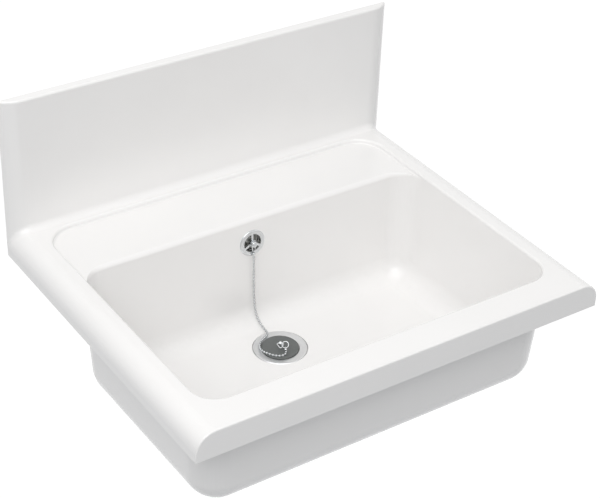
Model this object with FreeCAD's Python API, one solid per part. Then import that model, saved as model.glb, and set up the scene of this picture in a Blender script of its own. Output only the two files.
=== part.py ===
import FreeCAD, Part
import math
import os

# Wall-hung mop service sink with upstand, plug and chain waste and overflow.
# Millimetres. +X right, +Y into the wall, +Z up. The origin is on the wall plane,
# on the centreline, at the height of the deck's top.

V = FreeCAD.Vector
X_AXIS = V(1, 0, 0)
Y_AXIS = V(0, 1, 0)
Z_AXIS = V(0, 0, 1)

# ---------------------------------------------------------------- driving sizes: sink
sink_width = 560.0
sink_depth = 457.0
wall = 7.0
apron_depth = 35.0
edge_radius = 25.0          # rounded left and right edges of the deck
front_edge_radius = 2.0
upstand_height = 180.0
upstand_thickness = 12.0
upstand_edge_width = 26.0   # width of the upstand's rounded side edges
upstand_top_radius = 3.0
cove_radius = 9.0           # hollow between deck and upstand
rim_side_width = 36.0
rim_front_width = 42.0
ledge_front = 120.0         # both measured out from the wall
ledge_back = 26.0
ledge_drop = 6.0
ledge_foot_radius = 2.4     # hollow line round the back of the ledge
recess_corner = 38.0
mouth_radius = 3.2
bowl_depth = 161.0          # to the floor at the waste's centre
bowl_corner = 32.0
bowl_floor_radius = 31.5
bowl_draft = 3.0            # degrees
floor_tilt = 1.0            # degrees, falling towards the back

# ---------------------------------------------------------------- driving sizes: wall rail
rail_length = 400.0
rail_leg = 62.0
rail_drop = 64.0
rail_thickness = 3.0
gusset_size = 46.0
gusset_spacing = 120.0
rail_end_margin = 20.0      # from each end of the rail to its outer screw
bolt_spacing_x = 300.0
bolt_spacing_z = 30.0
bolt_hole_radius = 4.5
bolt_row_drop = 16.0        # from the rail's top to the upper row of bolts
boss_radius = 8.0
boss_count = 4
boss_from_wall = 45.0
insert_radius = 4.25
insert_length = 12.0
insert_hole_spare = 2.0     # depth of the hole past the insert
rail_screw_radius = 2.95
rail_screw_length = 16.0
rail_screw_head = 5.0       # half of the head's width across flats
rail_screw_head_height = 4.0
washer_radius = 7.0
washer_thickness = 1.6

# ---------------------------------------------------------------- driving sizes: waste
waste_from_back_wall = 74.0 # from the top of the bowl's back wall to the waste's centre
flange_radius = 35.0
flange_thickness = 1.6
flange_proud = 0.4          # above the floor at the waste's centre
flange_fall = 0.8           # fall of the flange's face to the seat
flange_edge_width = 0.6     # bevel round the flange
flange_edge_height = 0.5
flange_shoulder = 1.2       # step under the flange, wider than the tail
shoulder_height = 3.0
shoulder_bevel = 1.0
seat_drop = 1.4             # seat's rim below the flange's top
seat_rim_width = 0.5
seat_step = 1.0             # bevel from the seat's foot to the bore
seat_radius = 24.6
seat_depth = 10.0
seat_slope = 0.4            # loss of radius per millimetre of depth
bore_radius = 19.8
cross_drop = 3.0            # strainer cross below the seat
cross_height = 3.0
cross_bar_width = 2.6
cross_hub_radius = 5.0
tail_radius = 23.9          # outside of the 1 1/2 inch thread
tail_length = 74.0
tail_neck_length = 1.5
tail_neck_depth = 1.0
tail_slot_width = 12.0      # openings that let the overflow's water in
tail_slot_height = 14.0
tail_free_length = 16.0
collar_radius = 34.0
collar_height = 33.5
collar_wall = 3.5
spigot_radius = 8.0
spigot_bore = 6.0
spigot_reach = 30.0
gasket_thickness = 2.0
gasket_inset = 1.0          # behind the edge of what presses it
nut_radius = 33.0           # over the lugs
nut_height = 12.0
nut_lugs = 8
nut_lug_width = 6.0
nut_lug_depth = 3.0
nut_washer_radius = 31.0

# ---------------------------------------------------------------- driving sizes: plug
plug_proud = 1.4            # plug's top above the flange
plug_edge_radius = 2.0
plug_depth = 12.0
eye_height = 5.0            # link's wire above the plug's top
eye_width = 5.6
eye_thickness = 2.4
stem_radius = 1.5
stem_rise = 0.5             # stem's end inside the eye
stem_head_radius = 3.5
stem_head_thickness = 1.0
link_wire = 0.7
ring_wire = 0.5
link_half_width = 5.0
link_length = 12.5
link_bend = 1.6
link_heading = -120.0       # degrees from +X, the way the plug's link points
ring_radius = 4.2
ring_lean = 50.0            # degrees from upright
ring_on_leg = 0.75          # where the ring sits on the link's right leg, from the apex
ring_outset = 2.5
loop_radius = 1.3
loop_wire = 0.4
loop_sink = 0.15            # how far the loop runs into the bell
bell_radius = 1.9
bell_length = 4.2
bell_rounding = 0.9
bell_swing_gap = 0.6        # lets the bell's edge swing up past the chain's first ball
chain_radius = 1.6

# ---------------------------------------------------------------- driving sizes: overflow
overflow_drop = 41.0        # its centre below the deck
rose_radius = 18.0
rose_thickness = 1.6
rose_edge_radius = 0.96
rose_opening = 12.5
rose_collar_length = 4.0
rose_collar_wall = 1.0
rose_boss_sink = 1.0        # boss's back end behind the rose's back face
spoke_width = 3.0
spoke_front = 1.28          # spoke's faces in front of and behind the rose's back face
spoke_back = 0.6
spoke_count = 3
rose_boss_radius = 4.8
link_stand_off = 4.3        # wire of the hanging link in front of the wall
overflow_hole_radius = 14.0
overflow_screw_radius = 2.4
overflow_screw_length = 21.0
screw_head_radius = 4.0
screw_head_height = 2.2
screw_head_rounding = 1.1
screw_slot_width = 1.0
screw_slot_depth = 0.9
hanging_link_length = 10.0
hanging_link_top = 3.3      # radius of the wire's centreline round the screw
elbow_flange_radius = 22.0
elbow_flange_thickness = 3.0
elbow_radius = 16.0
elbow_depth = 18.0
elbow_wall = 2.8
elbow_boss_radius = 4.2
elbow_boss_sink = 1.4       # how far the boss runs into the elbow's back
hose_from_wall = 100.0
hose_drop = 6.0             # hose's top below the elbow
hose_radius = 10.4
hose_wall = 2.1
hose_rib = 1.1
hose_rib_pitch = 5.5
hose_bend = 30.0
hose_grip = 20.0            # length of hose pushed over a spigot
clip_width = 8.0
clip_thickness = 0.9
clip_screw_radius = 2.6
clip_screw_length = 9.0

# ---------------------------------------------------------------- clearances
fit_clearance = 0.05        # a round piece in its hole
seat_clearance = 0.3        # pieces that touch and move on each other
taper_allowance = 0.03      # keeps that gap square to the plug's taper
washer_clearance = 0.25     # round a screw in its washer
screw_hole_clearance = 0.4  # round a screw in the rail
waste_hole_clearance = 0.8  # round the flange's shoulder in the sink
flange_gap = 1.0            # round the flange in its recess
overrun = 1.0               # cutting shapes run this far past a face
bite = 0.5                  # joined shapes run this far into each other

# ---------------------------------------------------------------- derived places
front_y = -sink_depth
slope = math.tan(math.radians(bowl_draft))
bowl_half = sink_width / 2 - rim_side_width
bowl_front_y = front_y + rim_front_width
boss_spacing = (rail_length - 2 * rail_end_margin) / (boss_count - 1)
waste_y = -ledge_front - waste_from_back_wall
floor_rise = (waste_y - bowl_front_y) * math.tan(math.radians(floor_tilt))
floor_z = -bowl_depth
flange_top = floor_z + flange_proud
flange_seat = flange_top - flange_thickness
recess_z = flange_seat - gasket_thickness
pad_z = recess_z - wall
seat_top = flange_top - seat_drop
seat_foot_radius = seat_radius - seat_slope * seat_depth
tail_end = recess_z - tail_length
collar_top = pad_z - gasket_thickness
collar_foot = collar_top - collar_height
spigot_z = collar_top - collar_height / 2
nut_top = collar_foot - gasket_thickness
plug_top = flange_top + plug_proud
rail_top = -apron_depth
boss_top = -ledge_drop - wall / 2


def back_wall_y(z):
    """Front surface of the bowl's back wall at a height."""
    return -ledge_front + (z + ledge_drop) * slope


overflow_origin = V(0, back_wall_y(-overflow_drop), -overflow_drop)
overflow_turn = FreeCAD.Placement(overflow_origin, FreeCAD.Rotation(X_AXIS, -bowl_draft))
link_direction = V(math.cos(math.radians(link_heading)), math.sin(math.radians(link_heading)), 0)
link_side = V(-link_direction.y, link_direction.x, 0)
eye_centre = V(0, waste_y, plug_top + eye_height)


# ---------------------------------------------------------------- shape helpers
def cylinder(radius, start, length, axis=Z_AXIS):
    return Part.makeCylinder(radius, length, start, axis)


def tube(outer, inner, start, length, axis=Z_AXIS):
    return cylinder(outer, start, length, axis).cut(cylinder(inner, start, length, axis))


def box(low, high):
    return Part.makeBox(high.x - low.x, high.y - low.y, high.z - low.z, low)


def fused(shapes):
    return shapes[0].multiFuse(shapes[1:]).removeSplitter()


def revolved(points, centre):
    """Solid of revolution about a vertical axis, from (radius, height) points."""
    corners = [V(centre.x + r, centre.y, z) for r, z in points]
    face = Part.Face(Part.makePolygon(corners + corners[:1]))
    return face.revolve(V(centre.x, centre.y, 0), Z_AXIS, 360)


def rounded_rectangle(half_x, low_y, high_y, front_corner, back_corner, z):
    """Closed wire, with its own corner radius at the front and at the back."""
    edges = []
    turns = [(half_x, low_y, front_corner, -90), (half_x, high_y, back_corner, 0),
             (-half_x, high_y, back_corner, 90), (-half_x, low_y, front_corner, 180)]
    ends = []
    for x, y, radius, start in turns:
        centre = V(x - math.copysign(radius, x), y + (radius if y == low_y else -radius), z)
        points = [centre + radius * V(math.cos(math.radians(start + a)), math.sin(math.radians(start + a)), 0)
                  for a in (0, 45, 90)]
        ends.append((Part.Arc(*points).toShape(), points[0], points[2]))
    for i, (arc, first, last) in enumerate(ends):
        edges.append(arc)
        edges.append(Part.makeLine(last, ends[(i + 1) % len(ends)][1]))
    return Part.Wire(edges)


def prism(wire, rise):
    return Part.Face(wire).extrude(V(0, 0, rise))


def wire_loop(path, radius):
    """Round wire bent along a path."""
    first = path.Edges[0]
    start = first.valueAt(first.FirstParameter)
    along = first.tangentAt(first.FirstParameter)
    section = Part.Wire(Part.makeCircle(radius, start, along))
    return path.makePipeShell([section], True, True)


def teardrop(centre, big, heading, side, length, small):
    """Closed wire round two circles, the small one at a distance along the heading."""
    far = centre + heading * length
    lean = (big - small) / length
    spread = math.sqrt(1 - lean * lean)
    normals = [side * spread + heading * lean, side * -spread + heading * lean]
    near_points = [centre + n * big for n in normals]
    far_points = [far + n * small for n in normals]
    return Part.Wire([
        Part.Arc(near_points[1], centre - heading * big, near_points[0]).toShape(),
        Part.makeLine(near_points[0], far_points[0]),
        Part.Arc(far_points[0], far + heading * small, far_points[1]).toShape(),
        Part.makeLine(far_points[1], near_points[1])])


def tangent_arc(before, here, after, reach):
    """Three points of the arc that cuts a corner, starting and ending at a reach from it."""
    into = (here - before).normalize()
    out = (after - here).normalize()
    half = into.getAngle(out) / 2
    radius = reach / math.tan(half)
    middle = here + (out - into).normalize() * (radius / math.cos(half) - radius)
    return (here - into * reach, middle, here + out * reach), radius


def rounded_path(points):
    """Straight runs joined by tangent arcs, each as large as its two runs allow."""
    edges = []
    radii = []
    place = points[0]
    for before, here, after in zip(points, points[1:], points[2:]):
        reach = 0.45 * min((here - before).Length, (after - here).Length)
        (start, middle, end), radius = tangent_arc(before, here, after, reach)
        edges.append(Part.LineSegment(place, start).toShape())
        edges.append(Part.Arc(start, middle, end).toShape())
        radii.append(radius)
        place = end
    edges.append(Part.LineSegment(place, points[-1]).toShape())
    return Part.Wire(edges), radii


def rounded_triangle(corners, bend):
    """Closed wire through three corners, each bent to one radius."""
    arcs = []
    for i, here in enumerate(corners):
        before = corners[i - 1]
        after = corners[(i + 1) % 3]
        half = (here - before).getAngle(after - here) / 2
        arcs.append(tangent_arc(before, here, after, bend * math.tan(half))[0])
    edges = []
    for i, (start, middle, end) in enumerate(arcs):
        edges.append(Part.Arc(start, middle, end).toShape())
        edges.append(Part.makeLine(end, arcs[(i + 1) % 3][0]))
    return Part.Wire(edges)


def hexagon(half_flats, start, height):
    reach = half_flats / math.cos(math.radians(30))
    corners = [start + V(reach * math.cos(math.radians(a)), reach * math.sin(math.radians(a)), 0)
               for a in range(0, 360, 60)]
    return Part.Face(Part.makePolygon(corners + corners[:1])).extrude(V(0, 0, height))


# ---------------------------------------------------------------- sink
def deck_solid(inset, y0, y1, foot):
    """The deck's section, rounded at the left and right, run from y0 to y1."""
    half = sink_width / 2 - inset
    radius = edge_radius - inset
    top = -inset
    turn = radius * math.sqrt(0.5)
    cx = half - radius
    cz = top - radius
    wire = Part.Wire([
        Part.makeLine(V(-half, y0, foot), V(-half, y0, cz)),
        Part.Arc(V(-half, y0, cz), V(-cx - turn, y0, cz + turn), V(-cx, y0, top)).toShape(),
        Part.makeLine(V(-cx, y0, top), V(cx, y0, top)),
        Part.Arc(V(cx, y0, top), V(cx + turn, y0, cz + turn), V(half, y0, cz)).toShape(),
        Part.makeLine(V(half, y0, cz), V(half, y0, foot)),
        Part.makeLine(V(half, y0, foot), V(-half, y0, foot))])
    return Part.Face(wire).extrude(V(0, y1 - y0, 0))


def upstand_solid():
    """Slab against the wall whose side edges curve back to the wall."""
    half = sink_width / 2
    flat = half - upstand_edge_width
    t = upstand_thickness
    bend = (upstand_edge_width ** 2 + t ** 2) / (2 * t)
    sweep = math.asin(upstand_edge_width / bend) / 2
    mid = V(flat + bend * math.sin(sweep), -t + bend * (1 - math.cos(sweep)), -apron_depth)
    z = -apron_depth
    wire = Part.Wire([
        Part.makeLine(V(half, 0, z), V(-half, 0, z)),
        Part.Arc(V(-half, 0, z), V(-mid.x, mid.y, z), V(-flat, -t, z)).toShape(),
        Part.makeLine(V(-flat, -t, z), V(flat, -t, z)),
        Part.Arc(V(flat, -t, z), mid, V(half, 0, z)).toShape()])
    slab = prism(wire, upstand_height + apron_depth)
    top = [e for e in slab.Edges if e.BoundBox.ZMin > upstand_height - 1 and e.BoundBox.YMin < -1]
    return slab.makeFillet(upstand_top_radius, top)


def bowl_solid(offset, top):
    """Tapered bowl with a rounded, tilted floor, grown outwards by an offset, from a top height."""
    foot = floor_z - offset
    corner = bowl_corner + offset
    radius = bowl_floor_radius + offset
    grow = offset - (-ledge_drop - top) * slope
    sections = []
    for z in (top, foot - floor_rise):
        inset = (top - z) * slope
        half = bowl_half + grow - inset
        low = bowl_front_y - grow + inset
        high = -ledge_front + grow - inset
        sections.append(rounded_rectangle(half, low, high, corner, corner, z))
    body = Part.makeLoft(sections, True, True)
    below = box(V(-sink_width, 2 * front_y, foot - bowl_depth), V(sink_width, -front_y, foot))
    below.rotate(V(0, waste_y, foot), X_AXIS, -floor_tilt)
    body = body.cut(below)
    floor_edges = [e for e in body.Edges if e.BoundBox.ZMax < foot + floor_rise + 0.01]
    return body.makeFillet(radius, floor_edges)


def cove(body):
    """Rounds the hollow line between the deck and the upstand."""
    line = [e for e in body.Edges
            if e.BoundBox.ZMin > -1 and e.BoundBox.ZMax < 1 and abs(e.BoundBox.YMin + upstand_thickness) < 0.01
            and e.BoundBox.XLength > sink_width / 2]
    return body.makeFillet(cove_radius, line)


def boss_places():
    first = -(boss_count - 1) / 2 * boss_spacing
    return [V(first + i * boss_spacing, -boss_from_wall, rail_top) for i in range(boss_count)]


def make_sink_body():
    outside = deck_solid(0, front_y, 0, -apron_depth)
    front_edges = [e for e in outside.Edges
                   if e.BoundBox.YMax < front_y + 0.01 and e.BoundBox.ZMin > -edge_radius - 0.01
                   and e.BoundBox.ZMax > -1]
    outside = outside.makeFillet(front_edge_radius, front_edges)
    outside = outside.fuse(upstand_solid()).removeSplitter()
    outside = cove(outside)
    hollow = deck_solid(wall, front_y + wall, -upstand_thickness, -apron_depth - wall)
    ledge_shell = prism(rounded_rectangle(bowl_half + wall, bowl_front_y - wall, -ledge_back + wall,
                                          bowl_corner + wall, recess_corner + wall, -ledge_drop - wall),
                        ledge_drop)
    bosses = [cylinder(boss_radius, place, boss_top - rail_top) for place in boss_places()]
    pad = cylinder(flange_radius + flange_gap + wall, V(0, waste_y, pad_z), floor_z - pad_z)
    body = outside.cut(hollow)
    body = fused([body, ledge_shell, bowl_solid(wall, -wall), pad] + bosses)
    recess = prism(rounded_rectangle(bowl_half, bowl_front_y, -ledge_back, bowl_corner, recess_corner,
                                     -ledge_drop), ledge_drop + overrun)
    foot = [e for e in recess.Edges if e.BoundBox.ZMax < -ledge_drop + 0.01]
    above_bowl = prism(rounded_rectangle(bowl_half, bowl_front_y, -ledge_front, bowl_corner, bowl_corner,
                                         -ledge_drop), ledge_drop + overrun)
    body = body.cut(recess.makeFillet(ledge_foot_radius, foot)).cut(above_bowl).cut(bowl_solid(0, -ledge_drop))
    mouth = [e for e in body.Edges
             if e.BoundBox.ZMin > -0.01 and e.BoundBox.ZMax < 0.01
             and abs(e.BoundBox.XMin) < bowl_half + 0.1 and e.BoundBox.YMax < -ledge_back + 0.1
             and e.BoundBox.YMin > bowl_front_y - 0.1]
    body = body.makeFillet(mouth_radius, mouth)
    seat = cylinder(flange_radius + flange_gap, V(0, waste_y, recess_z), floor_z + floor_rise - recess_z)
    hole = cylinder(tail_radius + flange_shoulder + waste_hole_clearance, V(0, waste_y, pad_z - overrun),
                    wall + 2 * overrun)
    overflow_hole = cylinder(overflow_hole_radius, V(0, -wall, 0), 3 * wall, Y_AXIS)
    overflow_hole.Placement = overflow_turn
    body = body.cut(seat).cut(hole).cut(overflow_hole)
    for place in boss_places():
        body = body.cut(cylinder(insert_radius, place, insert_length + insert_hole_spare))
    return body


# ---------------------------------------------------------------- wall rail
def make_wall_rail():
    half = rail_length / 2
    leg = box(V(-half, -rail_leg, rail_top - rail_thickness), V(half, 0, rail_top))
    back = box(V(-half, -rail_thickness, rail_top - rail_drop), V(half, 0, rail_top))
    rail = leg.fuse(back)
    inside_y = -rail_thickness
    inside_z = rail_top - rail_thickness
    for x in (-gusset_spacing, 0, gusset_spacing):
        corners = [V(x - rail_thickness / 2, inside_y, inside_z),
                   V(x - rail_thickness / 2, inside_y - gusset_size, inside_z),
                   V(x - rail_thickness / 2, inside_y, inside_z - gusset_size)]
        face = Part.Face(Part.makePolygon(corners + corners[:1]))
        rail = rail.fuse(face.extrude(V(rail_thickness, 0, 0)))
    rail = rail.removeSplitter()
    for place in boss_places():
        start = place - V(0, 0, 2 * rail_thickness)
        rail = rail.cut(cylinder(rail_screw_radius + screw_hole_clearance, start, 3 * rail_thickness))
    for x in (-bolt_spacing_x / 2, bolt_spacing_x / 2):
        for row in (0, 1):
            start = V(x, -2 * rail_thickness, rail_top - bolt_row_drop - row * bolt_spacing_z)
            rail = rail.cut(cylinder(bolt_hole_radius, start, 3 * rail_thickness, Y_AXIS))
    return rail


def make_rail_inserts():
    return Part.makeCompound([
        tube(insert_radius - fit_clearance, rail_screw_radius + fit_clearance, place, insert_length)
        for place in boss_places()])


def make_rail_washers():
    foot = V(0, 0, rail_thickness + washer_thickness)
    return Part.makeCompound([
        tube(washer_radius, rail_screw_radius + washer_clearance, place - foot, washer_thickness)
        for place in boss_places()])


def make_rail_screws():
    screws = []
    for place in boss_places():
        under = place - V(0, 0, rail_thickness + washer_thickness)
        head = hexagon(rail_screw_head, under - V(0, 0, rail_screw_head_height), rail_screw_head_height)
        screws.append(head.fuse(cylinder(rail_screw_radius, under, rail_screw_length)).removeSplitter())
    return Part.makeCompound(screws)


# ---------------------------------------------------------------- waste
def make_waste_flange():
    """Flange, plug seat, strainer cross and threaded tail in one turned piece."""
    centre = V(0, waste_y, 0)
    shoulder = tail_radius + flange_shoulder
    shoulder_foot = flange_seat - shoulder_height
    neck = tail_radius - tail_neck_depth
    seat_foot = seat_top - seat_depth
    neck_foot = tail_end + tail_free_length
    neck_top = neck_foot + tail_neck_length
    profile = [
        (seat_radius + seat_rim_width, flange_top - flange_fall), (flange_radius - flange_edge_width, flange_top),
        (flange_radius, flange_top - flange_edge_height), (flange_radius, flange_seat), (shoulder, flange_seat),
        (shoulder, shoulder_foot), (tail_radius, shoulder_foot - shoulder_bevel), (tail_radius, neck_top),
        (neck, neck_top), (neck, neck_foot), (tail_radius, neck_foot), (tail_radius, tail_end),
        (bore_radius, tail_end), (bore_radius, seat_foot - seat_step), (seat_foot_radius, seat_foot),
        (seat_radius, seat_top)]
    body = revolved(profile, centre)
    cross_top = seat_foot - cross_drop
    cross_foot = cross_top - cross_height
    bars = [cylinder(cross_hub_radius, V(0, waste_y, cross_foot), cross_height)]
    for turn in (45, 135):
        bar = box(V(-bore_radius - bite, waste_y - cross_bar_width / 2, cross_foot),
                  V(bore_radius + bite, waste_y + cross_bar_width / 2, cross_top))
        bar.rotate(V(0, waste_y, 0), Z_AXIS, turn)
        bars.append(bar)
    body = fused([body] + bars)
    for turn in (0, 90):
        slot = box(V(-tail_radius - overrun, waste_y - tail_slot_width / 2, spigot_z - tail_slot_height / 2),
                   V(tail_radius + overrun, waste_y + tail_slot_width / 2, spigot_z + tail_slot_height / 2))
        slot.rotate(V(0, waste_y, 0), Z_AXIS, turn)
        body = body.cut(slot)
    return body


def make_flange_gasket():
    inner = tail_radius + flange_shoulder + seat_clearance
    return tube(flange_radius - gasket_inset, inner, V(0, waste_y, recess_z), gasket_thickness)


def make_collar_gasket():
    inner = tail_radius + seat_clearance
    return tube(collar_radius - gasket_inset, inner, V(0, waste_y, collar_top), gasket_thickness)


def make_overflow_collar():
    """Hollow ring round the slotted tail with a spigot towards the wall."""
    start = V(0, waste_y, collar_foot)
    body = cylinder(collar_radius, start, collar_height)
    spigot_start = V(0, waste_y, spigot_z)
    spigot = cylinder(spigot_radius, spigot_start, collar_radius + spigot_reach, Y_AXIS)
    body = body.fuse(spigot).removeSplitter()
    body = body.cut(cylinder(tail_radius + seat_clearance, start - V(0, 0, overrun), collar_height + 2 * overrun))
    chamber = cylinder(collar_radius - collar_wall, start + V(0, 0, collar_wall), collar_height - 2 * collar_wall)
    bore = cylinder(spigot_bore, spigot_start, collar_radius + spigot_reach + overrun, Y_AXIS)
    return body.cut(chamber).cut(bore)


def make_nut_washer():
    return tube(nut_washer_radius, tail_radius + seat_clearance, V(0, waste_y, nut_top), gasket_thickness)


def make_waste_nut():
    start = V(0, waste_y, nut_top - nut_height)
    body_radius = nut_radius - nut_lug_depth
    body = cylinder(body_radius, start, nut_height)
    lugs = []
    for i in range(nut_lugs):
        lug = box(V(body_radius - bite, waste_y - nut_lug_width / 2, start.z),
                  V(nut_radius, waste_y + nut_lug_width / 2, nut_top))
        lug.rotate(V(0, waste_y, 0), Z_AXIS, i * 360 / nut_lugs)
        lugs.append(lug)
    body = fused([body] + lugs)
    return body.cut(cylinder(tail_radius + fit_clearance, start - V(0, 0, overrun), nut_height + 2 * overrun))


# ---------------------------------------------------------------- plug
def make_plug_body():
    """Rubber plug whose taper sits in the flange's seat."""
    def side(z):
        return seat_radius + (z - seat_top) * seat_slope - seat_clearance - taper_allowance
    shoulder = plug_top - plug_edge_radius
    foot = plug_top - plug_depth
    widest = side(shoulder)
    edge = widest - plug_edge_radius
    turn = plug_edge_radius * math.sqrt(0.5)
    y = waste_y
    wire = Part.Wire([
        Part.makeLine(V(0, y, foot), V(0, y, plug_top)),
        Part.makeLine(V(0, y, plug_top), V(edge, y, plug_top)),
        Part.Arc(V(edge, y, plug_top), V(edge + turn, y, shoulder + turn), V(widest, y, shoulder)).toShape(),
        Part.makeLine(V(widest, y, shoulder), V(side(foot), y, foot)),
        Part.makeLine(V(side(foot), y, foot), V(0, y, foot))])
    body = Part.Face(wire).revolve(V(0, y, 0), Z_AXIS, 360)
    stem_hole = cylinder(stem_radius + fit_clearance, V(0, waste_y, foot - overrun), plug_depth + 2 * overrun)
    return body.cut(stem_hole)


def make_plug_eye():
    """Metal eye with a stem through the plug, spread underneath."""
    foot = plug_top - plug_depth
    half = eye_width / 2
    low = V(eye_centre.x, eye_centre.y, plug_top)
    lug = box(V(-eye_thickness / 2, -half, 0), V(eye_thickness / 2, half, eye_height))
    lug = lug.fuse(cylinder(half, V(-eye_thickness / 2, 0, eye_height), eye_thickness, X_AXIS)).removeSplitter()
    lug = lug.cut(cylinder(link_wire + seat_clearance, V(-eye_thickness, 0, eye_height), 2 * eye_thickness, X_AXIS))
    lug.rotate(V(0, 0, 0), Z_AXIS, link_heading + 90)
    lug.translate(low)
    start = V(0, waste_y, foot - stem_head_thickness)
    stem = cylinder(stem_radius, start, stem_head_thickness + plug_depth + stem_rise)
    head = cylinder(stem_head_radius, start, stem_head_thickness)
    return fused([lug, stem, head])


def link_corners():
    return [eye_centre + link_side * link_half_width,
            eye_centre - link_side * link_half_width,
            eye_centre + link_direction * link_length]


def make_plug_link():
    """Three-sided wire link through the plug's eye."""
    return wire_loop(rounded_triangle(link_corners(), link_bend), link_wire)


def ring_frame():
    """Centre of the leaning ring, its sideways and upward directions."""
    lean = math.radians(ring_lean)
    corners = link_corners()
    apex = corners[2]
    right_end = corners[0]
    on_leg = apex + (right_end - apex) * ring_on_leg
    centre = on_leg + link_side * ring_outset
    up = Z_AXIS * math.cos(lean) - link_direction * math.sin(lean)
    return centre, link_side, up


def make_plug_ring():
    centre, side, up = ring_frame()
    return Part.makeTorus(ring_radius, ring_wire, centre, side.cross(up))


def bell_coupling(hold, through, along):
    """Loop round a wire at a point, with the bell that grips the chain's first ball."""
    loop = Part.makeTorus(loop_radius, loop_wire, hold, through)
    start = hold + along * (loop_radius + loop_wire - loop_sink)
    bell = cylinder(bell_radius, start, bell_length, along)
    rims = [e for e in bell.Edges if isinstance(e.Curve, Part.Circle)]
    bell = bell.makeFillet(bell_rounding, rims)
    return loop.fuse(bell).removeSplitter(), start + along * bell_length


def plug_coupling():
    centre, side, up = ring_frame()
    return bell_coupling(centre - up * ring_radius, side, link_direction)


def make_plug_coupling():
    return plug_coupling()[0]


# ---------------------------------------------------------------- overflow
def on_back_wall(shape):
    """Moves a shape built about the origin, with -Y into the bowl, onto the back wall."""
    shape.Placement = overflow_turn.multiply(shape.Placement)
    return shape


def make_overflow_rose():
    ring = tube(rose_radius, rose_opening, V(0, -rose_thickness, 0), rose_thickness, Y_AXIS)
    outer_edge = [e for e in ring.Edges
                  if e.BoundBox.YMax < -rose_thickness + 0.01 and e.BoundBox.XMax > rose_radius - 0.01]
    ring = ring.makeFillet(rose_edge_radius, outer_edge)
    collar_start = V(0, -rose_thickness / 2, 0)
    collar = tube(rose_opening + rose_collar_wall, rose_opening, collar_start, rose_collar_length, Y_AXIS)
    boss_height = link_stand_off - link_wire - seat_clearance
    boss = cylinder(rose_boss_radius, V(0, -boss_height, 0), boss_height + rose_boss_sink, Y_AXIS)
    spokes = []
    for i in range(spoke_count):
        spoke = box(V(0, -spoke_front, -spoke_width / 2), V(rose_opening + bite, spoke_back, spoke_width / 2))
        spoke.rotate(V(0, 0, 0), Y_AXIS, -90 + i * 360 / spoke_count)
        spokes.append(spoke)
    body = fused([ring, collar, boss] + spokes)
    hole = cylinder(overflow_screw_radius + fit_clearance, V(0, -link_stand_off, 0), 2 * link_stand_off, Y_AXIS)
    return on_back_wall(body.cut(hole))


def make_overflow_screw():
    under = -link_stand_off - link_wire - seat_clearance
    shank = cylinder(overflow_screw_radius, V(0, under, 0), overflow_screw_length, Y_AXIS)
    head = cylinder(screw_head_radius, V(0, under - screw_head_height, 0), screw_head_height, Y_AXIS)
    face_edge = [e for e in head.Edges if e.BoundBox.YMax < under - screw_head_height + 0.01]
    head = head.makeFillet(screw_head_rounding, face_edge)
    face = under - screw_head_height
    slot = box(V(-screw_head_radius, face - overrun, -screw_slot_width / 2),
               V(screw_head_radius, face + screw_slot_depth, screw_slot_width / 2))
    return on_back_wall(shank.fuse(head).removeSplitter().cut(slot))


def make_overflow_link():
    path = teardrop(V(0, -link_stand_off, 0), hanging_link_top, V(0, 0, -1), X_AXIS, hanging_link_length, loop_radius)
    return on_back_wall(wire_loop(path, link_wire))


def overflow_coupling():
    hold = V(0, -link_stand_off, -hanging_link_length - loop_radius)
    return bell_coupling(hold, X_AXIS, V(0, 0, -1))


def make_overflow_coupling():
    return on_back_wall(overflow_coupling()[0])


def make_overflow_gasket():
    return on_back_wall(tube(elbow_flange_radius, overflow_hole_radius, V(0, wall, 0), gasket_thickness, Y_AXIS))


def make_overflow_elbow():
    """Hollow body behind the bowl with a screw boss and a spigot pointing down."""
    front = wall + gasket_thickness
    flange = cylinder(elbow_flange_radius, V(0, front, 0), elbow_flange_thickness, Y_AXIS)
    chamber = cylinder(elbow_radius, V(0, front, 0), elbow_depth, Y_AXIS)
    start = V(0, front - overrun, 0)
    hollow = cylinder(elbow_radius - elbow_wall, start, elbow_depth - elbow_wall + overrun, Y_AXIS)
    boss = cylinder(elbow_boss_radius, V(0, front, 0), elbow_depth - elbow_wall + elbow_boss_sink, Y_AXIS)
    screw_hole = cylinder(overflow_screw_radius + fit_clearance, start, elbow_depth - elbow_wall, Y_AXIS)
    shell = on_back_wall(flange.fuse(chamber))
    foot = V(0, -hose_from_wall, hose_top_z() - hose_grip)
    spigot = cylinder(spigot_radius, foot, -overflow_drop - foot.z)
    bore = cylinder(spigot_bore, foot - V(0, 0, overrun), -overflow_drop - foot.z)
    body = shell.fuse(spigot).removeSplitter().cut(on_back_wall(hollow)).cut(bore)
    return body.fuse(on_back_wall(boss)).removeSplitter().cut(on_back_wall(screw_hole))


def hose_top_z():
    return -overflow_drop - elbow_radius - hose_drop


def hose_path():
    top = V(0, -hose_from_wall, hose_top_z())
    end = V(0, waste_y + collar_radius + spigot_reach - hose_grip, spigot_z)
    knee = V(0, top.y, end.z)
    start_bend = knee + V(0, 0, hose_bend)
    end_bend = knee - V(0, hose_bend, 0)
    middle = V(0, knee.y - hose_bend * (1 - math.sqrt(0.5)), knee.z + hose_bend * (1 - math.sqrt(0.5)))
    edges = [Part.makeLine(top, start_bend), Part.Arc(start_bend, middle, end_bend).toShape(),
             Part.makeLine(end_bend, end)]
    return edges


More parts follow.
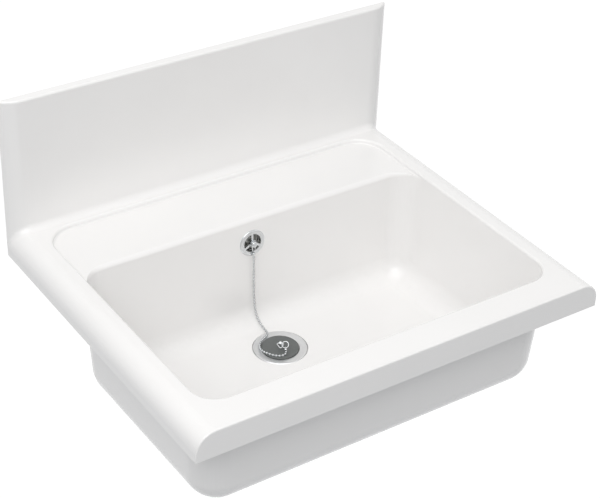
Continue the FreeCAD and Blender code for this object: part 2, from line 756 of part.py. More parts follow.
def make_overflow_hose():
    """Corrugated hose from the elbow's spigot to the collar's spigot."""
    edges = hose_path()
    path = Part.Wire(edges)
    outside = wire_loop(path, hose_radius)
    inside = wire_loop(path, hose_radius - hose_wall)
    ribs = []
    lead = hose_grip + hose_rib
    run = lead
    total = path.Length
    while run < total - lead:
        left = run
        for edge in edges:
            if left <= edge.Length:
                break
            left -= edge.Length
        parameter = edge.getParameterByLength(left)
        ribs.append(Part.makeTorus(hose_radius, hose_rib, edge.valueAt(parameter), edge.tangentAt(parameter)))
        run += hose_rib_pitch
    return outside.multiFuse(ribs).cut(inside)


def make_hose_clips():
    """Band clips, each with its screw housing across the band."""
    end_y = waste_y + collar_radius + spigot_reach - hose_grip
    places = [(V(0, -hose_from_wall, hose_top_z() - (hose_grip + clip_width) / 2), Z_AXIS, Y_AXIS),
              (V(0, end_y + (hose_grip - clip_width) / 2, spigot_z), Y_AXIS, Z_AXIS)]
    inner = hose_radius + fit_clearance
    clips = []
    for start, axis, across in places:
        band = tube(inner + clip_thickness, inner, start, clip_width, axis)
        middle = start + axis * (clip_width / 2) + X_AXIS * (inner + clip_screw_radius)
        housing = cylinder(clip_screw_radius, middle - across * (clip_screw_length / 2), clip_screw_length, across)
        housing = housing.cut(cylinder(inner, start - axis * overrun, clip_width + 2 * overrun, axis))
        clips.append(band.fuse(housing).removeSplitter())
    return Part.makeCompound(clips)


# ---------------------------------------------------------------- chain
def chain_tube(points, name):
    path, radii = rounded_path(points)
    print(name, 'length %.1f' % path.Length, 'radii', ' '.join('%.1f' % r for r in radii))
    solid = wire_loop(path, chain_radius)
    ideal = math.pi * chain_radius ** 2 * path.Length
    print(name, 'volume', round(solid.Volume, 1), 'section times length', round(ideal, 1))
    return solid


def around_waste(points):
    """Route points given from the waste's centre, at heights above the flange's top."""
    return [V(x, waste_y + y, flange_top + z) for x, y, z in points]


def down_back_wall(points):
    """Route points given by their distance from the ledge's front edge and height above the floor."""
    return [V(x, -ledge_front - out, floor_z + up) for x, out, up in points]


def hanging_route():
    start = overflow_turn.multVec(overflow_coupling()[1] + V(0, 0, -seat_clearance))
    down_wall = down_back_wall([(0.3, 7.9, 68.0), (0.0, 9.3, 40.0), (0.6, 12.8, 18.4), (1.4, 20.5, 7.6),
                                (2.4, 31.5, 2.2)])
    round_rim = around_waste([(2.2, 33.5, 2.0), (-3.4, 26.9, 1.9), (-12.6, 23.7, 1.9), (-20.0, 17.7, 1.9)])
    return [start] + down_wall + round_rim


def plug_route():
    over_plug = around_waste([(-24.9, 9.6, 1.9), (-26.0, 2.6, 2.6), (-24.0, -4.4, 3.5), (-20.6, -11.2, 3.5),
                              (-15.9, -16.9, 3.5), (-10.6, -20.0, 3.6), (-5.6, -19.9, 3.7), (-2.1, -17.4, 3.7)])
    return over_plug + [plug_coupling()[1] + link_direction * bell_swing_gap]


def chain_routes():
    """Both stretches, meeting halfway along one straight run on the flange."""
    hanging = hanging_route()
    lying = plug_route()
    meeting = (hanging[-1] + lying[0]) * 0.5
    return hanging + [meeting], [meeting] + lying


def make_chain_hanging():
    return chain_tube(chain_routes()[0], 'chain_hanging')


def make_chain_on_plug():
    return chain_tube(chain_routes()[1], 'chain_on_plug')


NODES = {
    'sink_body': make_sink_body,
    'wall_rail': make_wall_rail,
    'rail_inserts': make_rail_inserts,
    'rail_washers': make_rail_washers,
    'rail_screws': make_rail_screws,
    'waste_flange': make_waste_flange,
    'flange_gasket': make_flange_gasket,
    'collar_gasket': make_collar_gasket,
    'overflow_collar': make_overflow_collar,
    'nut_washer': make_nut_washer,
    'waste_nut': make_waste_nut,
    'plug_body': make_plug_body,
    'plug_eye': make_plug_eye,
    'plug_link': make_plug_link,
    'plug_ring': make_plug_ring,
    'plug_coupling': make_plug_coupling,
    'overflow_rose': make_overflow_rose,
    'overflow_screw': make_overflow_screw,
    'overflow_link': make_overflow_link,
    'overflow_coupling': make_overflow_coupling,
    'overflow_gasket': make_overflow_gasket,
    'overflow_elbow': make_overflow_elbow,
    'overflow_hose': make_overflow_hose,
    'hose_clips': make_hose_clips,
    'chain_hanging': make_chain_hanging,
    'chain_on_plug': make_chain_on_plug,
}


def main():
    os.makedirs("parts", exist_ok=True)
    for name, make in NODES.items():
        shape = make()
        if not shape.isValid():
            print('not valid:', name)
        print(name, 'solids', len(shape.Solids), 'volume', round(shape.Volume, 1))
        shape.exportStep("parts/" + name + ".step")


main()
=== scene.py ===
import math

import bmesh
import bpy
from mathutils import Matrix, Vector


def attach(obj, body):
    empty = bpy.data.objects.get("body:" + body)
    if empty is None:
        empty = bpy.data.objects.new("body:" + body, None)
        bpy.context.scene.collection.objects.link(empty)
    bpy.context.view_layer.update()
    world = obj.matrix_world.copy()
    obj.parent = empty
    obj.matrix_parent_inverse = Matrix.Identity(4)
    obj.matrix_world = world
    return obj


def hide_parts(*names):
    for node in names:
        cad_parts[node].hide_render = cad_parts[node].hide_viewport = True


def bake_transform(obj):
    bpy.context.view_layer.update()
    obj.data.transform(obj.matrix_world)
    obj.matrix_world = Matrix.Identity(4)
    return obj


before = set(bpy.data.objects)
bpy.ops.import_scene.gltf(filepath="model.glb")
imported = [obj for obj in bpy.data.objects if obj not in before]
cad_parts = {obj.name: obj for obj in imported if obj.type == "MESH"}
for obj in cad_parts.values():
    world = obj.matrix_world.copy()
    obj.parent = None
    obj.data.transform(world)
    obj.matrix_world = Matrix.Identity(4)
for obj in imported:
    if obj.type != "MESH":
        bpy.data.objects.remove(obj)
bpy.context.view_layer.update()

bl_info = {
    "name": "Mop service sink",
    "version": (1, 0, 0),
    "blender": (4, 5, 0),
    "location": "View3D > Sidebar > Service sink",
    "description": "Wall-hung mop sink with a plug and chain waste and an overflow",
    "category": "Add Mesh",
}

MM = 0.001

# Route of the chain in millimetres: down the back wall, round the waste's rim, and over the plug
# to the ring on the plug's link.
HANGING_ROUTE = (
    (0.0, -127.04, -58.10), (0.3, -127.9, -93.0), (0.0, -129.3, -121.0), (0.6, -132.8, -142.6),
    (1.4, -140.5, -153.4), (2.4, -151.5, -158.8), (2.2, -160.5, -158.6), (-3.4, -167.1, -158.7),
    (-12.6, -170.3, -158.7), (-20.0, -176.3, -158.7), (-22.45, -180.35, -158.7))
PLUG_ROUTE = (
    (-22.45, -180.35, -158.7), (-24.9, -184.4, -158.7), (-26.0, -191.4, -158.0), (-24.0, -198.4, -157.1),
    (-20.6, -205.2, -157.1), (-15.9, -210.9, -157.1), (-10.6, -214.0, -157.0), (-5.6, -213.9, -156.9),
    (-2.1, -211.4, -156.9), (-0.93, -208.12, -156.90))
ROUTE_STEPS = 24               # steps of the smooth line for each point of a route
LINK_BALLS = 13                # balls in the chain's upper stretch, next to the overflow's link
BALL_SIDES = 14
BALL_RINGS = 10
WIRE_SIDES = 10

# Places and sizes of the moulded sink, in millimetres: the waste's turned rings and the ledge's
# rounding follow them.
WASTE_Y = -194.0
LEDGE_EDGE_Y = -120.0
LEDGE_Z = -6.0
BOWL_HALF = 244.0
BOWL_CORNER = 32.0
DRAFT = math.tan(math.radians(3.0))

# The shape that cuts the rounding of the ledge's front edge, in millimetres and degrees.
CUTTER_GAP = 0.03              # inside the bowl's walls, so that no two faces coincide
CUTTER_REACH = 90.0            # how far it runs from the edge into the open bowl
CUTTER_ABOVE = 3.0
CUTTER_BELOW = 6.0
CUTTER_FRONT_CORNER = 1.0
ROUNDING_STEPS = 10
ROUNDING_TURN = 87.0           # a quarter turn less the wall's draft
CORNER_STEPS = 12

# Shading: faces that meet at a larger angle than these degrees keep a crisp edge.
FITTING_CREASE = 30
SHELL_CREASE = 32
FACE_WEIGHT = 50               # how far large faces lead the shading
SHADE_WELD = 0.002             # millimetres
SHELL_WELD = 0.005             # millimetres
FLAT_ANGLE = 0.2               # degrees below which neighbouring faces become one

# Studio, in metres.
LAMP_TARGET = (0, -0.2, 0)
TOP_LAMP_PLACE = (-0.9, -1.05, 2.15)
TOP_LAMP_SIZE = 2.6
WINDOW_LAMP_PLACE = (-1.5, -1.9, 1.9)
WINDOW_LAMP_SIZE = 0.7
FLOOR_REACH = 12
FLOOR_FLECK = 0.03
FLOOR_GLOW = 0.82              # of white, where the floor is seen
FLOOR_SHADE = 0.3              # how strongly the shadow shows there


def linear(code):
    """Linear colour from an sRGB hex code."""
    parts = [int(code[i:i + 2], 16) / 255 for i in (1, 3, 5)]
    return [p / 12.92 if p <= 0.04045 else ((p + 0.055) / 1.055) ** 2.4 for p in parts]


def colour_property(name, description, code):
    return bpy.props.FloatVectorProperty(name=name, description=description, subtype="COLOR",
                                         size=3, min=0, max=1, default=linear(code))


def size_property(name, description, millimetres):
    return bpy.props.FloatProperty(name=name, description=description, subtype="DISTANCE", unit="LENGTH",
                                   precision=5, min=0, default=millimetres * MM)


def power_property(name, description, watts):
    return bpy.props.FloatProperty(name=name, description=description, subtype="POWER", unit="POWER",
                                   min=0, default=watts)


class ShellSettings(bpy.types.PropertyGroup):
    gel_white: colour_property("Gel coat", "Colour of the moulded sink", "#F6F5F4")
    gel_shade: colour_property("Gel coat, thinner", "Colour where the gel coat is thinner", "#F2F1F0")
    ledge_rounding: size_property("Ledge rounding", "Radius of the ledge's front edge", 6.0)


class WasteSettings(bpy.types.PropertyGroup):
    steel: colour_property("Waste steel", "Colour of the flange's metal", "#E9EAEB")
    rubber: colour_property("Plug rubber", "Colour of the plug", "#6B6E6D")
    chrome: colour_property("Bright plating", "Colour of the links, rings and rose", "#E3E5E6")
    plastic: colour_property("Fitting plastic", "Colour of the collar, nut and elbow", "#E6E6E2")


class ChainSettings(bpy.types.PropertyGroup):
    plating: colour_property("Chain plating", "Colour of the chain's metal", "#C6C8C9")
    ball: size_property("Ball", "Diameter of a ball", 3.2)
    pitch: size_property("Pitch", "Distance from ball to ball", 4.35)
    wire: size_property("Wire", "Diameter of the wire between two balls", 1.0)


class StageSettings(bpy.types.PropertyGroup):
    floor_colour: colour_property("Floor", "Colour of the floor where it lights the object", "#A0A3A7")
    mounting_height: size_property("Mounting height", "Height of the deck above the floor", 650.0)
    top_power: power_property("Top lamp", "Power of the large lamp overhead", 33.0)
    window_power: power_property("Window lamp", "Power of the small lamp at the left", 4.5)
    fill: bpy.props.FloatProperty(name="Room light", description="Strength of the even light from all round",
                                  default=0.62, min=0)


# ---------------------------------------------------------------- materials
def add_node(tree, kind, settings=None, inputs=None):
    """Adds a node with its settings, and with a link or a value for each input."""
    node = tree.nodes.new(kind)
    for name, value in (settings or {}).items():
        setattr(node, name, value)
    for name, value in (inputs or {}).items():
        if isinstance(value, bpy.types.NodeSocket):
            tree.links.new(value, node.inputs[name])
        else:
            node.inputs[name].default_value = value
    return node


def surface(name, colour, patch, constants, patch_mm, roughness, swing, grain_mm, grain_depth_mm,
            pattern=None):
    """Material whose colour drifts in soft patches and whose roughness and height follow a grain.

    pattern(tree, place, grain_mm) may give the grain's own height instead of even noise.
    """
    material = bpy.data.materials.new(name)
    material.use_nodes = True
    tree = material.node_tree
    tree.nodes.clear()
    place = add_node(tree, "ShaderNodeTexCoord").outputs["Object"]
    drift = add_node(tree, "ShaderNodeTexNoise", None,
                     {"Vector": place, "Scale": 1 / (patch_mm * MM), "Detail": 3.0})
    tint = add_node(tree, "ShaderNodeMix", {"data_type": "RGBA"},
                    {"Factor": drift.outputs["Fac"], "A": (*colour, 1), "B": (*patch, 1)})
    if pattern:
        grain = pattern(tree, place, grain_mm)
    else:
        grain = add_node(tree, "ShaderNodeTexNoise", None,
                         {"Vector": place, "Scale": 1 / (grain_mm * MM), "Detail": 4.0}).outputs["Fac"]
    gloss = add_node(tree, "ShaderNodeMapRange", None,
                     {"Value": grain, "From Min": 0.3, "From Max": 0.7, "To Min": roughness - swing,
                      "To Max": roughness + swing})
    bump = add_node(tree, "ShaderNodeBump", None,
                    {"Height": grain, "Strength": 1.0, "Distance": grain_depth_mm * MM})
    shader = add_node(tree, "ShaderNodeBsdfPrincipled", None,
                      {"Base Color": tint.outputs["Result"], "Roughness": gloss.outputs["Result"],
                       "Normal": bump.outputs["Normal"], **constants})
    add_node(tree, "ShaderNodeOutputMaterial", None, {"Surface": shader.outputs["BSDF"]})
    return material


def turned_lines(tree, place, spacing_mm):
    """Height of the fine rings that a lathe leaves round the waste's axis."""
    centred = add_node(tree, "ShaderNodeVectorMath", {"operation": "SUBTRACT"},
                       {0: place, 1: (0, WASTE_Y * MM, 0)})
    flat = add_node(tree, "ShaderNodeVectorMath", {"operation": "MULTIPLY"},
                    {0: centred.outputs["Vector"], 1: (1, 1, 0)})
    radius = add_node(tree, "ShaderNodeVectorMath", {"operation": "LENGTH"}, {0: flat.outputs["Vector"]})
    return add_node(tree, "ShaderNodeTexNoise", {"noise_dimensions": "1D"},
                    {"W": radius.outputs["Value"], "Scale": 1 / (spacing_mm * MM),
                     "Detail": 2.0}).outputs["Fac"]


def gel_coat(settings):
    # Cast polymer with a glossy moulded gel coat: smooth white with a soft sheen and a very faint ripple.
    return surface("moulded_white_gel_coat", settings.gel_white, settings.gel_shade,
                   {"IOR": 1.5, "Coat Weight": 0.35, "Coat Roughness": 0.1},
                   patch_mm=90, roughness=0.22, swing=0.03, grain_mm=6, grain_depth_mm=0.01)


def brushed_waste_steel(settings):
    # Stainless steel turned on a lathe: pale grey, with fine rings that blur what it mirrors.
    return surface("turned_stainless_steel", settings.steel, linear("#DFE0E1"), {"Metallic": 1.0},
                   patch_mm=12, roughness=0.34, swing=0.06, grain_mm=0.5, grain_depth_mm=0.006,
                   pattern=turned_lines)


def plug_rubber(settings):
    # Moulded grey rubber: flat and dull, faintly mottled by the mould and by handling.
    return surface("moulded_grey_rubber", settings.rubber, linear("#616463"),
                   {"IOR": 1.5, "Specular IOR Level": 0.4},
                   patch_mm=9, roughness=0.62, swing=0.08, grain_mm=0.7, grain_depth_mm=0.03)


def bright_chrome(settings):
    # Polished chrome plate over brass: near mirror, with the slight waviness of polishing.
    return surface("polished_chrome_plate", settings.chrome, linear("#D6D9DB"), {"Metallic": 1.0},
                   patch_mm=8, roughness=0.09, swing=0.03, grain_mm=2, grain_depth_mm=0.004)


def chain_plate(settings):
    # Nickel plated ball chain: bright and greyer than chrome, and a little softer.
    return surface("nickel_plated_chain", settings.plating, linear("#B6B9BB"), {"Metallic": 1.0},
                   patch_mm=3, roughness=0.16, swing=0.05, grain_mm=0.8, grain_depth_mm=0.004)


def galvanised_steel():
    # Zinc plated steel sheet: cool grey in soft spangles a few millimetres wide.
    return surface("zinc_plated_steel_sheet", linear("#B9BEC2"), linear("#A2A8AD"), {"Metallic": 1.0},
                   patch_mm=7, roughness=0.42, swing=0.1, grain_mm=3, grain_depth_mm=0.01)


def screw_steel():
    # Stainless screws, cold formed: plain grey metal with a satin face.
    return surface("cold_formed_stainless_steel", linear("#BDBFC0"), linear("#AEB1B3"), {"Metallic": 1.0},
                   patch_mm=3, roughness=0.3, swing=0.06, grain_mm=0.6, grain_depth_mm=0.004)


def turned_brass():
    # Knurled brass inserts set in the moulding: dull yellow metal.
    return surface("turned_brass", linear("#C9A865"), linear("#B8954F"), {"Metallic": 1.0},
                   patch_mm=3, roughness=0.32, swing=0.06, grain_mm=0.6, grain_depth_mm=0.005)


def seal_rubber():
    # Moulded black sealing rubber: matt and slightly dusty.
    return surface("moulded_black_seal_rubber", linear("#1E1F20"), linear("#2A2B2C"),
                   {"IOR": 1.5, "Specular IOR Level": 0.35},
                   patch_mm=6, roughness=0.7, swing=0.06, grain_mm=0.8, grain_depth_mm=0.02)


def fitting_plastic(settings):
    # Injection moulded polypropylene: milky white with a satin skin.
    return surface("moulded_white_polypropylene", settings.plastic, linear("#DCDCD7"), {"IOR": 1.49},
                   patch_mm=25, roughness=0.4, swing=0.05, grain_mm=0.9, grain_depth_mm=0.01)


def hose_plastic():
    # Blow moulded corrugated polyethylene: pale grey and waxy.
    return surface("blow_moulded_polyethylene", linear("#D3D5D4"), linear("#C6C9C8"), {"IOR": 1.5},
                   patch_mm=14, roughness=0.45, swing=0.05, grain_mm=1.2, grain_depth_mm=0.02)


# ---------------------------------------------------------------- shapes
def new_piece(name, builder, material, body, slot, *replaced):
    """Object at the origin from a bmesh, smooth shaded, riding on a body."""
    mesh = bpy.data.meshes.new(name)
    builder.to_mesh(mesh)
    builder.free()
    mesh.materials.append(material)
    piece = bpy.data.objects.new(name, mesh)
    bpy.context.scene.collection.objects.link(piece)
    for face in mesh.polygons:
        face.use_smooth = True
    if body:
        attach(piece, body)
    if replaced:
        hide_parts(*replaced)
    return piece


def smooth_edges(piece, angle):
    """Shades a piece smoothly up to an angle between its faces and keeps sharper edges crisp."""
    weld = piece.modifiers.new("weld", "WELD")
    weld.merge_threshold = SHADE_WELD * MM
    split = piece.modifiers.new("crisp_edges", "EDGE_SPLIT")
    split.split_angle = math.radians(angle)
    even = piece.modifiers.new("even_normals", "WEIGHTED_NORMAL")
    even.mode = "FACE_AREA"
    even.weight = FACE_WEIGHT


def dress(names, material):
    """Gives CAD nodes their material and smooth shading."""
    for name in names:
        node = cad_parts[name]
        node.data.materials.clear()
        node.data.materials.append(material)
        for face in node.data.polygons:
            face.use_smooth = True
        smooth_edges(node, FITTING_CREASE)


def rounded_ring(half_x, low_y, high_y, front_corner, back_corner, z):
    """Mesh of a level rounded rectangle's outline, sizes in millimetres."""
    builder = bmesh.new()
    corners = [builder.verts.new(Vector((x, y, z)) * MM)
               for x, y in ((half_x, low_y), (half_x, high_y), (-half_x, high_y), (-half_x, low_y))]
    builder.faces.new(corners)
    for pair, radius in (((corners[0], corners[3]), front_corner), ((corners[1], corners[2]), back_corner)):
        bmesh.ops.bevel(builder, geom=list(pair), offset=radius * MM, offset_type="OFFSET", affect="VERTICES",
                        segments=CORNER_STEPS, profile=0.5, material=-1, clamp_overlap=False)
    bmesh.ops.delete(builder, geom=builder.faces[:], context="FACES_ONLY")
    mesh = bpy.data.meshes.new("ring")
    builder.to_mesh(mesh)
    builder.free()
    return mesh


def ledge_cutter(radius):
    """Solid between the sharp front edge of the ledge and its rounding."""
    heights = [(LEDGE_Z + CUTTER_ABOVE, radius)]
    for i in range(ROUNDING_STEPS + 1):
        turn = math.radians(ROUNDING_TURN * i / ROUNDING_STEPS)
        heights.append((LEDGE_Z + CUTTER_GAP - radius * (1 - math.cos(turn)), radius * (1 - math.sin(turn))))
    heights.append((LEDGE_Z - radius - CUTTER_BELOW, 0.0))
    builder = bmesh.new()
    rings = []
    for z, out in heights:
        inset = max(0.0, LEDGE_Z - z) * DRAFT
        outline = rounded_ring(BOWL_HALF - inset - CUTTER_GAP, LEDGE_EDGE_Y - CUTTER_REACH,
                               LEDGE_EDGE_Y - inset - CUTTER_GAP + out, CUTTER_FRONT_CORNER,
                               BOWL_CORNER + out, z)
        before = set(builder.edges)
        builder.from_mesh(outline)
        bpy.data.meshes.remove(outline)
        rings.append([e for e in builder.edges if e not in before])
    for low, high in zip(rings, rings[1:]):
        bmesh.ops.bridge_loops(builder, edges=low + high)
    for ring in (rings[0], rings[-1]):
        bmesh.ops.contextual_create(builder, geom=ring)
    bmesh.ops.recalc_face_normals(builder, faces=builder.faces)
    return builder


def cut_away(piece, cutter_builder):
    """Subtracts a closed shape from a piece's mesh."""
    mesh = bpy.data.meshes.new("cutter")
    cutter_builder.to_mesh(mesh)
    cutter_builder.free()
    cutter = bpy.data.objects.new("cutter", mesh)
    bpy.context.scene.collection.objects.link(cutter)
    cut = piece.modifiers.new("cut", "BOOLEAN")
    cut.operation = "DIFFERENCE"
    cut.solver = "EXACT"
    cut.object = cutter
    bpy.context.view_layer.update()
    result = bpy.data.meshes.new_from_object(piece.evaluated_get(bpy.context.evaluated_depsgraph_get()))
    piece.modifiers.remove(cut)
    old = piece.data
    piece.data = result
    result.name = piece.name
    bpy.data.meshes.remove(old)
    bpy.data.objects.remove(cutter)
    bpy.data.meshes.remove(mesh)


# ---------------------------------------------------------------- chain
def route_line(route):
    """Points along the smooth NURBS line through a route."""
    curve = bpy.data.curves.new("route", "CURVE")
    curve.dimensions = "3D"
    curve.resolution_u = ROUTE_STEPS
    spline = curve.splines.new("NURBS")
    spline.points.add(len(route) - 1)
    for point, place in zip(spline.points, route):
        point.co = (*(Vector(place) * MM), 1)
    spline.order_u = 3
    spline.use_endpoint_u = True
    holder = bpy.data.objects.new("route", curve)
    bpy.context.scene.collection.objects.link(holder)
    mesh = bpy.data.meshes.new_from_object(holder)
    line = [v.co.copy() for v in mesh.vertices]
    bpy.data.objects.remove(holder)
    bpy.data.curves.remove(curve)
    bpy.data.meshes.remove(mesh)
    return line


def line_length(line):
    return sum((b - a).length for a, b in zip(line, line[1:]))


def at_distance(line, distance):
    """Point of a line at a distance along it."""
    run = 0.0
    for a, b in zip(line, line[1:]):
        step = (b - a).length
        if run + step >= distance:
            return a.lerp(b, (distance - run) / step)
        run += step
    return line[-1].copy()


def cut_line(line, first, last):
    """Part of a line between two distances along it."""
    part = [at_distance(line, first)]
    run = 0.0
    for a, b in zip(line, line[1:]):
        run += (b - a).length
        if first < run < last:
            part.append(b.copy())
    part.append(at_distance(line, last))
    return part


def ball_chain(balls, rods, ball, wire):
    """Hollow balls and the short wires between them."""
    builder = bmesh.new()
    for place in balls:
        bmesh.ops.create_uvsphere(builder, u_segments=BALL_SIDES, v_segments=BALL_RINGS, radius=ball / 2,
                                  matrix=Matrix.Translation(place))
    for start, end in rods:
        along = end - start
        turn = Vector((0, 0, 1)).rotation_difference(along).to_matrix().to_4x4()
        bmesh.ops.create_cone(builder, cap_ends=True, segments=WIRE_SIDES, radius1=wire / 2, radius2=wire / 2,
                              depth=along.length, matrix=Matrix.Translation((start + end) / 2) @ turn)
    return builder


# ---------------------------------------------------------------- operators
class SINK_OT_shell(bpy.types.Operator):
    """Build the moulded sink with its rounded ledge"""
    bl_idname = "service_sink.shell"
    bl_label = "Sink shell"

    def execute(self, context):
        settings = context.scene.sink_shell
        builder = bmesh.new()
        builder.from_mesh(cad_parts["sink_body"].data)
        bmesh.ops.remove_doubles(builder, verts=builder.verts, dist=SHELL_WELD * MM)
        bmesh.ops.dissolve_limit(builder, angle_limit=math.radians(FLAT_ANGLE), verts=builder.verts,
                                 edges=builder.edges, delimit=set())
        piece = new_piece("sink_shell", builder, gel_coat(settings), "sink", "sink_white", "sink_body")
        cut_away(piece, ledge_cutter(settings.ledge_rounding / MM))
        for face in piece.data.polygons:
            face.use_smooth = True
        smooth_edges(piece, SHELL_CREASE)
        return {"FINISHED"}


class SINK_OT_waste(bpy.types.Operator):
    """Finish the waste flange, its seals, the collar and the nut"""
    bl_idname = "service_sink.waste"
    bl_label = "Waste"

    def execute(self, context):
        settings = context.scene.sink_waste
        dress(["waste_flange"], brushed_waste_steel(settings))
        dress(["flange_gasket", "collar_gasket", "nut_washer", "overflow_gasket"], seal_rubber())
        dress(["overflow_collar", "waste_nut", "overflow_elbow"], fitting_plastic(settings))
        dress(["overflow_hose"], hose_plastic())
        return {"FINISHED"}


class SINK_OT_plug(bpy.types.Operator):
    """Finish the rubber plug, the links on it and the overflow's rose"""
    bl_idname = "service_sink.plug"
    bl_label = "Plug"

    def execute(self, context):
        settings = context.scene.sink_waste
        dress(["plug_body"], plug_rubber(settings))
        dress(["plug_eye", "plug_link", "plug_ring", "plug_coupling", "overflow_rose", "overflow_screw",
               "overflow_link", "overflow_coupling"], bright_chrome(settings))
        return {"FINISHED"}


class SINK_OT_rail(bpy.types.Operator):
    """Finish the wall rail, its fixings and the hose clips"""
    bl_idname = "service_sink.rail"
    bl_label = "Wall rail and fixings"

    def execute(self, context):
        dress(["wall_rail"], galvanised_steel())
        dress(["rail_screws", "rail_washers", "hose_clips"], screw_steel())
        dress(["rail_inserts"], turned_brass())
        return {"FINISHED"}


class SINK_OT_chain(bpy.types.Operator):
    """Hang the ball chain from the overflow to the plug"""
    bl_idname = "service_sink.chain"
    bl_label = "Ball chain"

    def execute(self, context):
        settings = context.scene.sink_chain
        material = chain_plate(settings)
        hanging = route_line(HANGING_ROUTE)
        line = hanging + route_line(PLUG_ROUTE)[1:]
        total = line_length(line)
        count = round(total / settings.pitch)
        balls = [(i + 0.5) * total / count for i in range(count)]
        places = [at_distance(line, ball) for ball in balls]
        link_end = LINK_BALLS * total / count
        rim = round(line_length(hanging) / (total / count)) * total / count
        stretches = (
            ("chain_upper", 0.0, link_end, ["chain_hanging"], ("overflow_link", "sink"), "object",
             ["overflow_coupling"]),
            ("chain_lower", link_end, rim, [], ("sink", "plug"), "object", []),
            ("chain_over_plug", rim, total, ["chain_on_plug"], ("plug", "plug_link"), "fitting",
             ["plug_coupling"]))
        for name, first, last, replaced, bodies, far_end, fitted in stretches:
            inside = [i for i in range(count) if first < balls[i] < last]
            rods = [(places[i], places[i + 1]) for i in inside if i + 1 < count]
            builder = ball_chain([places[i] for i in inside], rods, settings.ball, settings.wire)
            piece = new_piece(name, builder, material, None, "chain_steel", *replaced)
            path = cut_line(line, first, last)
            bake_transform(piece)
        return {"FINISHED"}


class SINK_OT_stage(bpy.types.Operator):
    """Set the camera, the lamps and the floor"""
    bl_idname = "service_sink.stage"
    bl_label = "Stage"

    def execute(self, context):
        settings = context.scene.sink_stage
        set_camera()
        set_world(settings)
        lamp("top_lamp", TOP_LAMP_PLACE, TOP_LAMP_SIZE, settings.top_power)
        lamp("window_lamp", WINDOW_LAMP_PLACE, WINDOW_LAMP_SIZE, settings.window_power)
        floor = make_floor(settings)
        return {"FINISHED"}


def set_camera():
    """Camera at the photograph's viewing angle, found from the sink's own corners."""
    azimuth, elevation, roll = (math.radians(a) for a in (-34.855, 33.490, 2.402))
    target = Vector((0.44, -228.5, 9.99)) * MM
    distance = 1968.9 * MM
    pixels_wide = 600
    focal_pixels = 1629.2
    back = Vector((math.sin(azimuth) * math.cos(elevation), -math.cos(azimuth) * math.cos(elevation),
                   math.sin(elevation)))
    right = Vector((math.cos(azimuth), math.sin(azimuth), 0))
    up = back.cross(right)
    rolled_right = right * math.cos(roll) + up * math.sin(roll)
    rolled_up = up * math.cos(roll) - right * math.sin(roll)
    camera = bpy.data.cameras.new("camera")
    camera.sensor_fit = "HORIZONTAL"
    camera.lens = camera.sensor_width * focal_pixels / pixels_wide
    holder = bpy.data.objects.new("camera", camera)
    bpy.context.scene.collection.objects.link(holder)
    turn = Matrix((rolled_right, rolled_up, back)).transposed()
    holder.matrix_world = Matrix.Translation(target + back * distance) @ turn.to_4x4()
    bpy.context.scene.camera = holder


def seen_white(tree):
    """1 for what the camera sees itself, in metal or through glass, and 0 for light on the object."""
    path = add_node(tree, "ShaderNodeLightPath")
    mirrored = add_node(tree, "ShaderNodeMath", {"operation": "MAXIMUM"},
                        {0: path.outputs["Is Glossy Ray"], 1: path.outputs["Is Transmission Ray"]})
    return add_node(tree, "ShaderNodeMath", {"operation": "MAXIMUM"},
                    {0: path.outputs["Is Camera Ray"], 1: mirrored.outputs["Value"]}).outputs["Value"]


def set_world(settings):
    world = bpy.data.worlds.new("studio")
    world.use_nodes = True
    tree = world.node_tree
    tree.nodes.clear()
    light = add_node(tree, "ShaderNodeBackground", None, {"Color": (1, 1, 1, 1), "Strength": settings.fill})
    white = add_node(tree, "ShaderNodeBackground", None, {"Color": (1, 1, 1, 1), "Strength": 1.0})
    mix = add_node(tree, "ShaderNodeMixShader", None,
                   {0: seen_white(tree), 1: light.outputs["Background"], 2: white.outputs["Background"]})
    add_node(tree, "ShaderNodeOutputWorld", None, {"Surface": mix.outputs["Shader"]})
    bpy.context.scene.world = world
    bpy.context.scene.view_settings.view_transform = "Standard"


def lamp(name, place, size, power):
    light = bpy.data.lights.new(name, "AREA")
    light.shape = "SQUARE"
    light.size = size
    light.energy = power
    holder = bpy.data.objects.new(name, light)
    bpy.context.scene.collection.objects.link(holder)
    holder.location = place
    holder.rotation_mode = "QUATERNION"
    holder.rotation_quaternion = (Vector(LAMP_TARGET) - Vector(place)).to_track_quat("-Z", "Y")


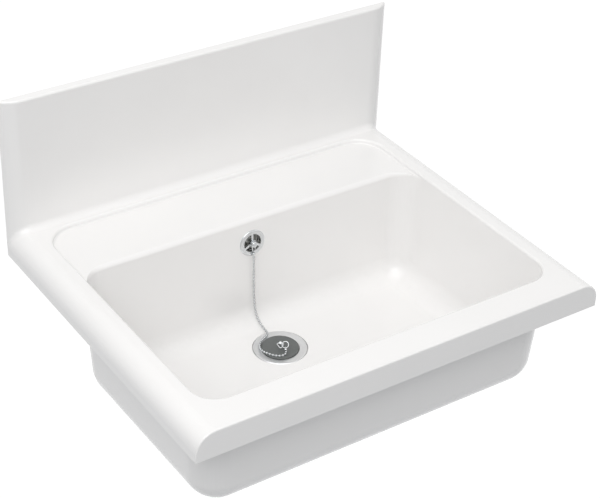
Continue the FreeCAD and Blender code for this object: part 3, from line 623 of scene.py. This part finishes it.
def make_floor(settings):
    # Pale sheet vinyl: plain grey in the light it gives the object, and near white with a soft
    # shadow where it is seen.
    material = bpy.data.materials.new("pale_sheet_vinyl")
    material.use_nodes = True
    tree = material.node_tree
    tree.nodes.clear()
    place = add_node(tree, "ShaderNodeTexCoord").outputs["Object"]
    fleck = add_node(tree, "ShaderNodeTexNoise", None,
                     {"Vector": place, "Scale": 1 / FLOOR_FLECK, "Detail": 3.0})
    tint = add_node(tree, "ShaderNodeMix", {"data_type": "RGBA"},
                    {"Factor": fleck.outputs["Fac"], "A": (*settings.floor_colour, 1),
                     "B": (*linear("#A6A9AD"), 1)})
    matt = add_node(tree, "ShaderNodeBsdfDiffuse", None, {"Color": tint.outputs["Result"]})
    shade = (FLOOR_SHADE, FLOOR_SHADE, FLOOR_SHADE, 1)
    faint = add_node(tree, "ShaderNodeBsdfDiffuse", None, {"Color": shade})
    glow = add_node(tree, "ShaderNodeEmission", None, {"Color": (1, 1, 1, 1), "Strength": FLOOR_GLOW})
    seen = add_node(tree, "ShaderNodeAddShader", None,
                    {0: faint.outputs["BSDF"], 1: glow.outputs["Emission"]})
    mix = add_node(tree, "ShaderNodeMixShader", None,
                   {0: seen_white(tree), 1: matt.outputs["BSDF"], 2: seen.outputs["Shader"]})
    add_node(tree, "ShaderNodeOutputMaterial", None, {"Surface": mix.outputs["Shader"]})
    builder = bmesh.new()
    bmesh.ops.create_grid(builder, x_segments=1, y_segments=1, size=FLOOR_REACH,
                          matrix=Matrix.Translation((0, 0, -settings.mounting_height)))
    return new_piece("floor", builder, material, None, None)


class SINK_PT_panel(bpy.types.Panel):
    """Lists the steps that build the sink"""
    bl_idname = "SINK_PT_panel"
    bl_label = "Service sink"
    bl_space_type = "VIEW_3D"
    bl_region_type = "UI"
    bl_category = "Service sink"

    def draw(self, context):
        for operator, group in STEPS:
            box = self.layout.box()
            box.operator(operator.bl_idname)
            if group:
                settings = getattr(context.scene, group)
                for name in settings.__annotations__:
                    box.prop(settings, name)


GROUPS = {"sink_shell": ShellSettings, "sink_waste": WasteSettings, "sink_chain": ChainSettings,
          "sink_stage": StageSettings}
STEPS = ((SINK_OT_stage, "sink_stage"), (SINK_OT_chain, "sink_chain"), (SINK_OT_shell, "sink_shell"),
         (SINK_OT_waste, "sink_waste"), (SINK_OT_plug, None), (SINK_OT_rail, None))


def register():
    for group in GROUPS.values():
        bpy.utils.register_class(group)
    for name, group in GROUPS.items():
        setattr(bpy.types.Scene, name, bpy.props.PointerProperty(type=group))
    for operator, _ in STEPS:
        bpy.utils.register_class(operator)
    bpy.utils.register_class(SINK_PT_panel)


def unregister():
    bpy.utils.unregister_class(SINK_PT_panel)
    for operator, _ in STEPS:
        bpy.utils.unregister_class(operator)
    for name, group in GROUPS.items():
        delattr(bpy.types.Scene, name)
        bpy.utils.unregister_class(group)


def main():
    register()
    bpy.ops.service_sink.stage()
    bpy.ops.service_sink.chain()
    bpy.ops.service_sink.shell()
    bpy.ops.service_sink.waste()
    bpy.ops.service_sink.plug()
    bpy.ops.service_sink.rail()


if __name__ == "__main__":
    main()
